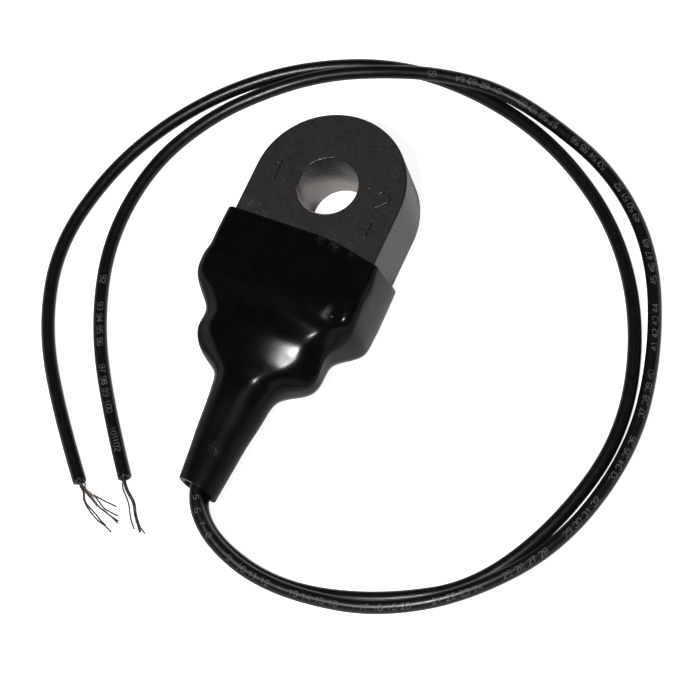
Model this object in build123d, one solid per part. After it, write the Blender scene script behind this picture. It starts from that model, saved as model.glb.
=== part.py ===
"""Current sensor: a potted ring transformer in a moulded case, with a shrink boot and two leads.

The case is a slab with a half-round top and a round window through it. A wound core sits round the
window, in potting resin. Two pins leave the case through a moulded block, a lead is soldered to each,
and a boot of heat-shrink tube covers the lower half of the case, the block and the joints.

Millimetres, +Z up. The origin is on the window's axis, at the case's back face. The case's arch points
along +Y and the leads leave along -Y. The sensor lies on its back, with the leads on the same surface.
"""

from build123d import *
from math import cos, pi, radians, sin, tan
import os

# Case
CASE_RADIUS = 12.5  # the half-round top, centred on the window
CASE_DEPTH = 11.7
CASE_BASE = 20.9  # from the window's axis down to the base
CASE_WALL = 1.0
FRONT_WALL = 1.0
CASE_CORNER = 1.0  # the two corners of the base
INNER_CORNER = 0.3  # the same corners inside the wall
CASE_EDGE = 0.3  # rounding of the front rim
WINDOW_RADIUS = 4.82
WINDOW_WALL = 0.9  # the tube that lines the window
WINDOW_EDGE = 0.2
BAND_HEIGHT = 4.7  # the thicker band round the case's base
BAND_PROUD = 0.35
BAND_PROUD_FRONT = 0.25

# Core, winding and potting
CORE_GAP = 0.17  # resin between the wound core and the case's walls
SEAT_HEIGHT = 0.5  # ribs that hold the wound core off the front wall
SEAT_WIDTH = 1.0
SEAT_LENGTH = 2.4
SEAT_COUNT = 3
TAPE = 0.12
WINDING = 0.7
CUP_WALL = 0.45
CORE_PLAY = 0.05
STACK_HEIGHT = 9.2  # the taped winding, along the window's axis
WOUND_ANGLE = 330.0
POTTING_RECESS = 0.3

# Terminals
PIN_RADIUS = 0.45
PIN_SPACING = 3.44
PIN_INSIDE = 4.3  # from the case's base up to the pin's head
PIN_BEYOND = 4.7  # from the block's nose to the pin's tip
PIN_COLLAR = 0.8
PIN_COLLAR_LENGTH = 0.7
BLOCK_WIDTH = 19.6
BLOCK_HEIGHT = 7.6
BLOCK_LENGTH = 8.9
BLOCK_CORNER = 3.2
BLOCK_NOSE = 2.5
SPIGOT_WIDTH = 12.0
SPIGOT_HEIGHT = 4.4
SPIGOT_INSIDE = 1.0  # how far the spigot reaches past the base wall
SPIGOT_PLAY = 0.05
TERMINAL_Z = 5.4
TAIL_WIRE = 0.35  # enamelled wire from the winding to its pin
TAIL_OUT = 0.9  # its straight stretches at the winding and above the pin
TAIL_ABOVE_PIN = 2.2
TAIL_BEND = 0.6
TAIL_SOLDER_RADIUS = 0.75
TAIL_SOLDER_LENGTH = 1.2
JOINT_RADIUS = 0.85
JOINT_REACH = 1.9  # the solder along the pin, and along the lead's conductor
SOLDER_LIP = 0.02  # the solder's thickness at its two ends
SLEEVE_WALL = 0.35
SLEEVE_PLAY = 0.05
SLEEVE_GAP = 0.4  # from the block's nose to the sleeve
SLEEVE_LENGTH = 9.0

# Boot
BOOT_GRIP = 12.3  # how far the boot reaches up the case
BOOT_WALL = 0.65
BOOT_SLACK = 0.05
BOOT_BELLY = 0.15  # the sides stand a little off the case
CASE_FORM_CORNER = 1.3  # the boot's corners on the case, on its band, and on the block and neck
BAND_FORM_CORNER = 2.0
NECK_FORM_CORNER = 4.0
STEP_ABOVE = 1.0  # the rise onto the case's band starts above the band's edge and ends below it
STEP_BELOW = 0.8
BASE_HOLD = 0.3  # the boot leaves the band just above the case's base
SHOULDER = 4.1  # from the base to where the boot lies on the block
NOSE_HOLD = 2.2  # from the block's nose up to where the boot leaves the block
BLOCK_SKIN = 0.75
BLOCK_SLACK = 0.3
NECK_SKIN = 0.9
NECK_SIDE_SLACK = 1.0  # room round the joints, just past the pins
NECK_RISE_SLACK = 1.8
NECK_PAST_PIN = 0.1
NECK_EASE = 1.6  # how quickly the neck settles from the joints to the tail
NECK_LENGTH = 21.4  # from the block's nose to the boot's cut end
TAIL_WALL = 0.95  # the tube thickens as it shrinks further
TAIL_RADIUS = 3.3
TAIL_DROP = 0.65  # the tail's centre lies below the pins
TAIL_SLANT = 17.0  # degrees, the hand-cut end
TAIL_SPARE = 1.6  # the form goes on past the slanted cut
NEARLY_ROUND = 0.05  # how far a round section's corners stay under half its width
BOOT_SECTIONS = 30

# Leads
LEAD_RADIUS = 1.1
CORE_WIRE_RADIUS = 0.31
INSULATION_BORE = 0.33
STRAND_RADIUS = 0.1
STRAND_INSET = 0.005  # the strands start just inside the conductor's edge
STUB = 0.5  # conductor past the end of the insulation, before it fans out
ARC_SHARE = 0.45

# The surface that the sensor lies on, and the height of a lead's centre on it
FLOOR = -BOOT_SLACK - BOOT_WALL
LYING = FLOOR + LEAD_RADIUS

# Each lead's route by hand: out of the boot, once round the sensor, and back beside it.
LEAD_1 = [
    (-1.72, -37.2, 5.4), (-1.72, -41.0, 5.4), (-1.0, -46.0, 5.8), (-0.3, -51.0, 5.95),
    (1.7, -54.9, 5.75), (6.0, -58.2, 4.8), (13.2, -60.5, 3.4), (22.4, -60.4, 2.5),
    (33.2, -58.2, 2.0), (44.6, -51.4, 1.7), (54.5, -38.6, 0.9), (58.6, -21.0, 0.4),
    (56.0, -5.0, 0.4), (48.8, 10.5, 0.4), (38.0, 21.2, 0.4), (24.5, 27.0, 0.4),
    (15.0, 28.4, 2.45), (5.0, 27.5, 3.1), (-4.0, 25.6, 2.65), (-12.5, 22.4, 2.1),
    (-20.2, 17.5, 0.9), (-28.7, 9.8, 0.4), (-34.0, -1.8, 0.4), (-34.8, -16.0, 0.4),
    (-30.3, -29.5, 0.4), (-22.5, -41.8, 0.4), (-13.8, -52.4, 0.4),
]
LEAD_2 = [
    (1.72, -37.2, 5.4), (1.72, -41.0, 5.4), (1.15, -46.2, 4.1), (0.05, -51.4, 3.58),
    (2.3, -55.2, 3.15), (7.0, -57.9, 2.1), (14.4, -59.6, 0.9), (23.0, -59.0, 0.4),
    (33.8, -55.4, 0.4), (44.2, -48.4, 0.4), (52.1, -35.3, 0.4), (56.4, -19.0, 0.4),
    (52.0, -2.0, 0.4), (42.6, 12.2, 0.4), (29.0, 22.3, 0.4), (14.0, 27.6, 0.4),
    (-2.0, 28.0, 0.4), (-16.5, 22.9, 0.4), (-27.2, 15.2, 0.4), (-35.2, 5.5, 0.4),
    (-40.8, -6.0, 0.4), (-42.5, -20.0, 0.4), (-38.3, -33.0, 0.4), (-30.0, -45.0, 0.4),
    (-20.4, -55.5, 0.4),
]

# Bare strands past a lead's end: distance along the lead, sideways, and up from its centre.
STRANDS_1 = [
    [(1.5, 0.05, 0.0), (4.0, 0.4, -0.2), (6.3, 0.2, -0.35), (9.3, 0.35, -0.6)],
    [(1.5, 0.25, 0.1), (4.0, 0.65, -0.05), (6.4, 0.45, -0.25), (9.9, 0.95, -0.6)],
    [(1.5, 0.15, 0.25), (4.0, 0.45, 0.1), (6.3, 0.25, -0.1), (9.1, 0.45, -0.35)],
    [(1.5, -0.2, 0.0), (4.4, -0.35, -0.3), (6.8, -0.6, -0.5), (8.6, -0.5, -0.75)],
]
STRANDS_2 = [
    [(1.2, 0.1, -0.15), (2.9, -0.3, -0.45), (6.3, 0.75, -0.75), (9.9, 2.35, -0.85)],
    [(1.2, 0.2, 0.1), (3.1, 0.05, -0.1), (6.4, 1.3, -0.45), (9.2, 2.4, -0.7)],
    [(1.1, 0.45, -0.05), (3.6, 2.0, -0.2), (6.2, 4.45, -0.35)],
    [(1.2, 0.4, 0.2), (4.4, 2.1, 0.15), (7.8, 4.15, -0.1)],
    [(1.3, 0.3, -0.3), (5.0, 2.1, -0.5), (8.6, 3.95, -0.65)],
]

# Distances down the case are from the window's axis.
pin_x = PIN_SPACING / 2
pin_start = CASE_BASE - PIN_INSIDE
block_end = CASE_BASE + BLOCK_LENGTH
pin_end = block_end + PIN_BEYOND
boot_mouth = CASE_BASE - BOOT_GRIP
boot_tail = block_end + NECK_LENGTH
boot_end = boot_tail + TAIL_SPARE
sleeve_radius = LEAD_RADIUS + SLEEVE_PLAY + SLEEVE_WALL
core_inner = WINDOW_RADIUS + WINDOW_WALL + CORE_GAP
core_outer = CASE_RADIUS - CASE_WALL - CORE_GAP
stack_top = CASE_DEPTH - FRONT_WALL - SEAT_HEIGHT
stack_bottom = stack_top - STACK_HEIGHT


def down(distance, x=0.0, z=TERMINAL_Z):
    """A plane across the sensor at a distance down from the window, facing along the leads."""
    return Plane(origin=(x, -distance, z), x_dir=(1, 0, 0), z_dir=(0, -1, 0))


def case_outline(inset=0.0):
    """The case from the front: a half-round top, straight sides and two base corners."""
    radius = CASE_RADIUS - inset
    base = CASE_BASE - inset
    body = Pos(0, -base / 2) * Rectangle(2 * radius, base)
    lower = body.vertices().sort_by(Axis.Y)[:2]
    return fillet(lower, max(CASE_CORNER - inset, INNER_CORNER)) + Circle(radius)


def window(radius, z_low, z_high):
    return Pos(0, 0, z_low) * extrude(Circle(radius), z_high - z_low)


def case_body():
    """The case as a solid slab, with the band round its base and its front rim rounded."""
    slab = extrude(case_outline(), CASE_DEPTH)
    front = slab.faces().sort_by(Axis.Z)[-1]
    slab = fillet(front.edges(), CASE_EDGE)
    width = 2 * (CASE_RADIUS + BAND_PROUD)
    section = Rectangle(width, CASE_DEPTH + BAND_PROUD_FRONT)
    band = extrude(down(CASE_BASE, z=(CASE_DEPTH + BAND_PROUD_FRONT) / 2) * section, -BAND_HEIGHT)
    band = fillet(band.edges().filter_by(Axis.Y).group_by(Axis.Z)[-1], CASE_CORNER)
    band = fillet(band.edges().filter_by(Axis.Z).group_by(Axis.Y)[0], CASE_CORNER)
    return slab + band


def base_slot():
    """The opening in the base wall that the block's spigot plugs into."""
    section = Rectangle(SPIGOT_WIDTH + 2 * SPIGOT_PLAY, SPIGOT_HEIGHT + 2 * SPIGOT_PLAY)
    return extrude(down(CASE_BASE) * section, -CASE_WALL)


def seats():
    """Ribs inside the front wall, round the window, that the wound core rests on."""
    middle = (core_inner + core_outer) / 2
    rib = Pos(middle, 0, stack_top + SEAT_HEIGHT / 2) * Box(SEAT_LENGTH, SEAT_WIDTH, SEAT_HEIGHT)
    return [Rot(0, 0, 90 + i * 360 / SEAT_COUNT) * rib for i in range(SEAT_COUNT)]


def case_shell():
    cavity = extrude(case_outline(CASE_WALL), CASE_DEPTH - FRONT_WALL)
    lining = window(WINDOW_RADIUS + WINDOW_WALL, 0, CASE_DEPTH - FRONT_WALL)
    shell = case_body() - cavity - base_slot() + lining + seats()
    shell -= window(WINDOW_RADIUS, 0, CASE_DEPTH)
    circles = shell.edges().filter_by(GeomType.CIRCLE)
    rims = circles.filter_by(lambda edge: abs(edge.radius - WINDOW_RADIUS) < 0.01)
    return fillet(rims.sort_by(Axis.Z)[-1], WINDOW_EDGE)


def ring(inner, outer, low, high):
    """The section of a ring round the window, on the XZ plane."""
    return Plane.XZ * Pos((inner + outer) / 2, (low + high) / 2) * Rectangle(outer - inner, high - low)


def layer(inset, thickness):
    """A layer wound over a ring: it closes round the section and stops short of a full turn."""
    outside = ring(core_inner + inset, core_outer - inset, stack_bottom + inset, stack_top - inset)
    inset += thickness
    inside = ring(core_inner + inset, core_outer - inset, stack_bottom + inset, stack_top - inset)
    wound = revolve(outside - inside, Axis.Z, WOUND_ANGLE)
    return Rot(0, 0, -90 + (360 - WOUND_ANGLE) / 2) * wound


def core_parts():
    """The strip-wound core, and the plastic cup and lid that close round it."""
    inset = TAPE + WINDING
    inner, outer = core_inner + inset, core_outer - inset
    low, high = stack_bottom + inset, stack_top - inset
    lid_top = low + CUP_WALL
    hollow = ring(inner + CUP_WALL, outer - CUP_WALL, lid_top, high - CUP_WALL)
    cup = revolve(ring(inner, outer, lid_top, high) - hollow, Axis.Z)
    lid = revolve(ring(inner, outer, low, lid_top), Axis.Z)
    play = CUP_WALL + CORE_PLAY
    core = ring(inner + play, outer - play, lid_top + CORE_PLAY, high - play)
    return revolve(core, Axis.Z), cup, lid, revolve(hollow, Axis.Z)


def pin(side):
    """A round terminal pin with a collar moulded into the block and a rounded tip."""
    x = side * pin_x
    length = pin_end - pin_start
    shaft = extrude(down(pin_start, x) * Circle(PIN_RADIUS), length)
    shaft = fillet(shaft.edges().filter_by(GeomType.CIRCLE), PIN_RADIUS / 3)
    middle = CASE_BASE + BLOCK_LENGTH / 2
    return shaft + extrude(down(middle, x) * Circle(PIN_COLLAR), PIN_COLLAR_LENGTH)


def terminal_block():
    """The moulded block under the case: a rounded nose, and a spigot that plugs into the base."""
    section = RectangleRounded(BLOCK_WIDTH, BLOCK_HEIGHT, BLOCK_CORNER)
    body = extrude(down(CASE_BASE) * section, BLOCK_LENGTH)
    body = fillet(body.faces().sort_by(Axis.Y)[0].edges(), BLOCK_NOSE)
    plug = Rectangle(SPIGOT_WIDTH, SPIGOT_HEIGHT)
    spigot = extrude(down(CASE_BASE) * plug, -CASE_WALL - SPIGOT_INSIDE)
    return body + spigot - pin(-1) - pin(1)


def winding_tail(side):
    """The end of the winding's wire: out of the gap in the winding and down to its pin."""
    middle = core_outer - TAPE - WINDING / 2
    angle = radians(-90 + side * (360 - WOUND_ANGLE) / 2)
    height = (stack_bottom + stack_top) / 2
    start = Vector(middle * cos(angle), middle * sin(angle), height)
    inward = Vector(side * sin(angle), -side * cos(angle), 0)
    pin_head = Vector(side * pin_x, -pin_start, TERMINAL_Z)
    bend = start + inward * TAIL_OUT
    above = pin_head + Vector(0, TAIL_ABOVE_PIN, 0)
    path = FilletPolyline(start, bend, above, pin_head, radius=TAIL_BEND)
    return sweep(Plane(origin=start, z_dir=inward) * Circle(TAIL_WIRE / 2), path)


def tail_solder(side):
    """Solder round a pin's head and the wire that meets it."""
    reach = TAIL_SOLDER_LENGTH / 2
    corners = [(0, -reach), (PIN_RADIUS, -reach), (TAIL_SOLDER_RADIUS, 0), (TAIL_WIRE, reach), (0, reach)]
    profile = Polyline(*corners, close=True)
    blob = revolve(make_face(profile), Axis.Y)
    return Pos(side * pin_x, -pin_start, TERMINAL_Z) * blob - pin(side) - winding_tail(side)


def arc_radii(points):
    """The radius at each inner point: as large as its two runs allow."""
    radii = []
    for a, b, c in zip(points, points[1:], points[2:]):
        run, onward = Vector(*b) - Vector(*a), Vector(*c) - Vector(*b)
        half_turn = radians(run.get_angle(onward)) / 2
        radii.append(ARC_SHARE * min(run.length, onward.length) / tan(half_turn))
    return radii


def lead_path(points):
    return FilletPolyline(*points, radius=arc_radii(points))


def straight(start, end, radius):
    """A round rod from one point to another."""
    along = end - start
    return extrude(Plane(origin=start, z_dir=along) * Circle(radius), along.length)


def lead_end(points):
    """A plane at a lead's cut end: X along the lead, Y sideways and Z up."""
    along = Vector(*points[-1]) - Vector(*points[-2])
    return Plane(origin=points[-1], x_dir=along, z_dir=(0, 0, 1))


def lead(points):
    """The insulation, and the conductor inside it from its pin to just past the cut end."""
    path = lead_path(points)
    start = Plane(origin=path @ 0, z_dir=path % 0)
    insulation = sweep(start * (Circle(LEAD_RADIUS) - Circle(INSULATION_BORE)), path)
    conductor = sweep(start * Circle(CORE_WIRE_RADIUS), path)
    first = Vector(*points[0])
    conductor += straight(Vector(first.X, -pin_end, first.Z), first, CORE_WIRE_RADIUS)
    conductor += straight(path @ 1, path @ 1 + (path % 1) * STUB, CORE_WIRE_RADIUS)
    return insulation, conductor


def strands(points, fan):
    """The bare strands of a stripped end, from the conductor's cut to their own tips."""
    frame = lead_end(points)
    ring_radius = CORE_WIRE_RADIUS - STRAND_RADIUS - STRAND_INSET
    group = []
    for i, route in enumerate(fan):
        turn = 2 * pi * i / len(fan)
        start = (STUB, ring_radius * cos(turn), ring_radius * sin(turn))
        line = [frame.from_local_coords(Vector(*p)) for p in [start, *route]]
        path = FilletPolyline(*line, radius=arc_radii(line))
        group.append(sweep(Plane(origin=path @ 0, z_dir=path % 0) * Circle(STRAND_RADIUS), path))
    return Compound(group)


def solder_joint(side):
    """Solder that runs up the pin and along the lead's conductor."""
    half = JOINT_REACH
    profile = Polyline(
        (0, half), (PIN_RADIUS + SOLDER_LIP, half), (JOINT_RADIUS, 0.3 * half),
        (JOINT_RADIUS, -0.2 * half), (CORE_WIRE_RADIUS + SOLDER_LIP, -half), (0, -half), close=True,
    )
    blob = revolve(make_face(profile), Axis.Y)
    joint = Pos(side * pin_x, -pin_end, TERMINAL_Z) * blob
    core = extrude(down(pin_end, side * pin_x) * Circle(CORE_WIRE_RADIUS), half)
    return joint - pin(side) - core


def joint_sleeve(side):
    """The small sleeve shrunk over a solder joint and the start of its lead."""
    section = Circle(sleeve_radius) - Circle(sleeve_radius - SLEEVE_WALL)
    return extrude(down(block_end + SLEEVE_GAP, side * pin_x) * section, SLEEVE_LENGTH)


def boot_levels():
    """The boot's forms down its length, each held from one distance to another.

    A form is half the width, the back, the front, the corner radius and the wall.
    """
    hug = BOOT_WALL + BOOT_SLACK
    side = CASE_RADIUS + hug + BOOT_BELLY
    front = CASE_DEPTH + hug
    block_cover = BLOCK_SLACK + BLOCK_SKIN
    block_rise = BLOCK_HEIGHT / 2 + block_cover
    joints_rise = sleeve_radius + NECK_RISE_SLACK + NECK_SKIN
    joints_side = pin_x + sleeve_radius + NECK_SIDE_SLACK + NECK_SKIN
    middle = TERMINAL_Z - TAIL_DROP
    band_top = CASE_BASE - BAND_HEIGHT
    on_case = (side, FLOOR, front, CASE_FORM_CORNER, BOOT_WALL)
    on_band = (side + BAND_PROUD, FLOOR, front + BAND_PROUD_FRONT, BAND_FORM_CORNER, BOOT_WALL)
    on_block = (
        BLOCK_WIDTH / 2 + block_cover, TERMINAL_Z - block_rise, TERMINAL_Z + block_rise,
        NECK_FORM_CORNER, BLOCK_SKIN,
    )
    on_joints = (
        joints_side, TERMINAL_Z - joints_rise, TERMINAL_Z + joints_rise, NECK_FORM_CORNER, NECK_SKIN,
    )
    on_tail = (
        TAIL_RADIUS, middle - TAIL_RADIUS, middle + TAIL_RADIUS, TAIL_RADIUS - NEARLY_ROUND, TAIL_WALL,
    )
    return [
        (boot_mouth, band_top - STEP_ABOVE, on_case),
        (band_top + STEP_BELOW, CASE_BASE - BASE_HOLD, on_band),
        (CASE_BASE + SHOULDER, block_end - NOSE_HOLD, on_block),
        (pin_end + NECK_PAST_PIN, pin_end + NECK_PAST_PIN, on_joints),
        (boot_end, boot_end, on_tail),
    ]


def boot_at(distance):
    """The boot's form at a distance: held on a level, eased over a shoulder, settling down the neck."""
    levels = boot_levels()
    for (_, held, form), (start, _, onward) in zip(levels, levels[1:]):
        if distance < start:
            t = max(distance - held, 0) / (start - held)
            share = 1 - (1 - t) ** NECK_EASE if start == boot_end else t * t * (3 - 2 * t)
            return [a + share * (b - a) for a, b in zip(form, onward)]
    return levels[-1][2]


def boot_form(inner):
    """The boot's outside, or the space inside its wall, as one smooth skin."""
    faces = []
    for i in range(BOOT_SECTIONS):
        distance = boot_mouth + (boot_end - boot_mouth) * i / (BOOT_SECTIONS - 1)
        half_width, back, front, corner, wall = boot_at(distance)
        t = wall if inner else 0.0
        corner = max(corner - t, BOOT_WALL)
        section = RectangleRounded(2 * (half_width - t), front - back - 2 * t, corner)
        faces.append(down(distance, z=(back + front) / 2) * section)
    return loft(faces)


def shrink_boot():
    skin = boot_form(False) - boot_form(True) - case_body()
    slant = radians(TAIL_SLANT)
    cut = Plane(origin=(0, -boot_tail, 0), z_dir=(-sin(slant), -cos(slant), 0))
    return skin - extrude(cut * Rectangle(4 * boot_tail, 4 * boot_tail), boot_tail)


def potting_fill(buried):
    """Resin that fills the case round everything in it, a little below the back rim."""
    fill = extrude(case_outline(CASE_WALL), CASE_DEPTH - FRONT_WALL - POTTING_RECESS)
    fill = Pos(0, 0, POTTING_RECESS) * fill
    fill -= window(WINDOW_RADIUS + WINDOW_WALL, 0, CASE_DEPTH)
    for piece in [*seats(), *buried]:
        fill -= piece
    return fill


def build():
    core, cup, lid, core_space = core_parts()
    winding = layer(TAPE, WINDING)
    tape = layer(0, TAPE)
    block = terminal_block()
    nodes = {
        "case_shell": case_shell(),
        "core_ring": core,
        "core_cup": cup,
        "core_lid": lid,
        "secondary_winding": winding,
        "winding_tape": tape,
        "terminal_block": block,
        "shrink_boot": shrink_boot(),
    }
    buried = [core_space, cup, lid, winding, tape, block]
    for number, side in ((1, -1), (2, 1)):
        nodes[f"terminal_pin_{number}"] = pin(side)
        nodes[f"winding_tail_{number}"] = winding_tail(side)
        nodes[f"tail_solder_{number}"] = tail_solder(side)
        nodes[f"solder_joint_{number}"] = solder_joint(side)
        nodes[f"joint_sleeve_{number}"] = joint_sleeve(side)
        buried += [nodes[f"{name}_{number}"] for name in ("terminal_pin", "winding_tail", "tail_solder")]
    for number, route, fan in ((1, LEAD_1, STRANDS_1), (2, LEAD_2, STRANDS_2)):
        insulation, conductor = lead(route)
        nodes[f"lead_insulation_{number}"] = insulation
        nodes[f"lead_conductor_{number}"] = conductor
        nodes[f"lead_strands_{number}"] = strands(route, fan)
        radii = [round(radius, 1) for radius in arc_radii(route)]
        print(f"lead {number}: {lead_path(route).length:.1f} mm, radii {radii}")
    nodes["potting_fill"] = potting_fill(buried)
    return nodes


if __name__ == "__main__":
    os.makedirs("parts", exist_ok=True)
    for name, piece in build().items():
        export_step(piece, f"parts/{name}.step")
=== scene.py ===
"""The looks of a current sensor: its case, shrink boot, two leads and their bare strands.

The sensor lies on its back on a white bench, its window's axis upright. Lengths in the tables are
in mm, in the frame's own axes, and MM turns them into metres.
"""

from math import cos, exp, pi, radians, sin, tan

import bpy
from mathutils import Matrix, Vector, noise

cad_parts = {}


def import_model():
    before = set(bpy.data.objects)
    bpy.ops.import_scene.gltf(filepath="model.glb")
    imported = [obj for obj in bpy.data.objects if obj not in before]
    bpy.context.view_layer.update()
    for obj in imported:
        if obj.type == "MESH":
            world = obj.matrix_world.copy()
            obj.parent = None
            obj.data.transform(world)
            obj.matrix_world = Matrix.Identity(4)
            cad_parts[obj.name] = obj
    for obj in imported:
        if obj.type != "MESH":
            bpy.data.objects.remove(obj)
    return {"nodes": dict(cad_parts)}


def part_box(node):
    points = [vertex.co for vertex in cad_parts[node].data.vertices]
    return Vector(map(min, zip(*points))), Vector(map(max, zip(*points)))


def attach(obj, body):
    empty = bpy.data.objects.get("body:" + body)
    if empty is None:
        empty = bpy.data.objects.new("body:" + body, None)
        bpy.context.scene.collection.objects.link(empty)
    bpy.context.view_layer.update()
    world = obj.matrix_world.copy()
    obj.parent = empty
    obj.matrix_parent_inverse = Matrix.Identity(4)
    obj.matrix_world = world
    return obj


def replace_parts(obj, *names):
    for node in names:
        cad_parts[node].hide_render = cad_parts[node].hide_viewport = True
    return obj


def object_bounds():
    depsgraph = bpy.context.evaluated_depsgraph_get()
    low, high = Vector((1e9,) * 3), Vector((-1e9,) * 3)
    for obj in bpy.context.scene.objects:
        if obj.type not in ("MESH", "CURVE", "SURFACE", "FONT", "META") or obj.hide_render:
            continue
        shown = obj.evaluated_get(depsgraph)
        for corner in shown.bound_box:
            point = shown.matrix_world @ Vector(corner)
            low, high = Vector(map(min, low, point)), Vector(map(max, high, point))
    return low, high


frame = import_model()
cad_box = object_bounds()

MM = 0.001

# Camera
CAMERA_AT = Vector((165.9, -155.0, 420.4)) * MM
LOOK_AT = Vector((10.67, -20.41, 0.0)) * MM
CAMERA_RIGHT = Vector((0.8902, 0.4106, -0.1972))
LENS = 154.3
CAMERA_CLIP = (0.01, 20.0)

# Leads: the points that steer each lead's smooth line, from its pin to its cut end. They are the part's
# own, some of them moved by up to 1.2 mm.
LEAD_RADIUS = 1.1
LEAD_1 = [
    (-1.72, -37.2, 5.4), (-1.72, -41.0, 5.4), (-1.0, -46.0, 5.8), (-0.3, -51.0, 5.95),
    (1.7, -54.9, 5.75), (6.0, -58.2, 4.8), (13.2, -60.5, 3.4), (22.4, -60.4, 2.5),
    (33.15, -58.1, 2.05), (44.53, -51.33, 2.0), (54.65, -38.66, 0.9), (58.7, -21.05, 0.4),
    (56.0, -5.0, 0.4), (49.05, 10.7, 0.4), (38.0, 21.2, 0.4), (24.4, 26.75, 0.4),
    (15.0, 28.3, 2.35), (5.0, 27.5, 2.75), (-4.05, 25.42, 1.95), (-12.45, 22.25, 1.55),
    (-20.2, 17.5, 0.7), (-28.3, 9.5, 0.4), (-34.0, -1.8, 0.4), (-34.8, -16.0, 0.4),
    (-30.3, -29.5, 0.4), (-22.5, -41.8, 0.4), (-13.8, -52.4, 0.4),
]
LEAD_2 = [
    (1.72, -37.2, 5.4), (1.72, -41.0, 5.4), (1.15, -46.2, 4.1), (0.05, -51.4, 3.58),
    (2.3, -55.2, 3.15), (7.0, -57.9, 2.1), (14.4, -59.6, 0.9), (23.0, -59.0, 0.4),
    (33.89, -55.59, 0.4), (45.05, -49.17, 0.4), (52.79, -35.59, 0.4), (56.4, -19.0, 0.4),
    (52.0, -2.0, 0.4), (42.55, 12.15, 0.4), (28.85, 22.1, 0.4), (13.9, 27.3, 0.4),
    (-2.1, 28.12, 0.4), (-16.6, 23.02, 0.4), (-27.2, 15.2, 0.4), (-35.1, 5.45, 0.4),
    (-40.3, -5.95, 0.4), (-42.35, -20.0, 0.4), (-38.3, -33.0, 0.4), (-30.0, -45.0, 0.4),
    (-20.4, -55.5, 0.4),
]

# The cut end of an insulation: (radius, distance along the lead past its last point)
CUT_END = [
    (1.1, -0.12), (1.09, -0.05), (1.04, 0.02), (0.96, 0.06), (0.84, 0.07), (0.68, 0.03), (0.52, -0.02),
    (0.4, -0.03), (0.33, -0.08), (0.31, -0.2), (0.31, -1.2), (0.0, -1.2),
]
# How ragged the cut is, how close its lumps are round it, and how much they differ from lead to lead
CUT_ROUGHNESS = 0.09
CUT_LUMPS = 1.6
CUT_VARIETY = 90
LEAST_RING = 0.02
LEAD_SIDES = 28
LEAD_STEPS = 20

# Bare strands, each from inside its lead out to its tip
STRAND_RADIUS = 0.125
STRAND_STEPS = 8
STRAND_ROUNDNESS = 3
STRANDS_1 = [
    [(-14.9, -51.2, 0.3), (-14.25, -52.1, 0.25), (-13.98, -52.9, 0.2), (-13.7, -53.75, 0.1),
     (-13.15, -54.4, -0.1), (-12.22, -55.22, -0.3), (-11.4, -56.2, -0.5), (-10.85, -57.15, -0.59),
     (-10.1, -58.2, -0.59), (-9.05, -59.25, -0.59)],
    [(-14.9, -51.1, 0.5), (-14.2, -52.0, 0.5), (-13.75, -52.75, 0.5), (-12.95, -53.75, 0.35),
     (-12.1, -54.55, 0.15), (-11.3, -55.15, -0.05), (-10.72, -55.9, -0.25), (-10.2, -56.8, -0.45),
     (-9.45, -57.75, -0.58), (-8.68, -58.5, -0.59), (-8.1, -59.15, -0.59)],
    [(-14.75, -51.3, 0.6), (-14.1, -52.2, 0.55), (-13.65, -53.0, 0.45), (-12.75, -54.1, 0.1),
     (-11.85, -54.75, 0.1), (-11.05, -55.3, 0.0), (-10.5, -56.0, -0.3), (-9.95, -56.9, -0.55),
     (-9.2, -57.85, -0.42), (-8.45, -58.6, -0.45), (-7.85, -59.35, -0.59)],
    [(-14.8, -51.3, 0.2), (-14.15, -52.2, 0.2), (-13.8, -52.9, 0.25), (-12.85, -53.95, 0.55),
     (-11.95, -54.65, 0.32), (-11.2, -55.2, 0.15), (-10.62, -55.95, -0.05), (-10.1, -56.85, -0.25),
     (-9.32, -57.8, -0.4), (-8.55, -58.55, -0.42), (-7.98, -59.28, -0.5)],
    [(-14.9, -51.2, 0.1), (-14.2, -52.15, 0.05), (-13.85, -53.0, 0.0), (-12.95, -54.05, -0.1),
     (-12.05, -54.75, -0.12), (-11.25, -55.32, -0.35), (-10.68, -56.05, -0.5), (-10.15, -56.95, -0.59),
     (-9.38, -57.88, -0.59), (-8.6, -58.66, -0.59), (-8.0, -59.42, -0.59)],
    [(-14.75, -51.2, 0.35), (-14.05, -52.05, 0.3), (-13.6, -52.8, 0.25), (-12.7, -53.85, 0.2),
     (-11.8, -54.55, -0.08), (-11.0, -55.15, -0.25), (-10.42, -55.88, -0.42), (-9.9, -56.78, -0.35),
     (-9.15, -57.7, -0.25), (-8.4, -58.45, -0.3), (-7.95, -59.0, -0.45)],
    [(-14.85, -51.25, 0.4), (-14.12, -52.1, 0.4), (-13.7, -52.9, 0.35), (-12.75, -53.95, 0.35),
     (-11.8, -54.65, 0.3), (-11.05, -55.22, -0.1), (-10.5, -55.97, -0.15), (-9.96, -56.82, -0.42),
     (-9.15, -57.78, -0.59), (-8.3, -58.62, -0.59), (-7.67, -58.98, -0.59), (-7.1, -59.3, -0.59)],
]
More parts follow.
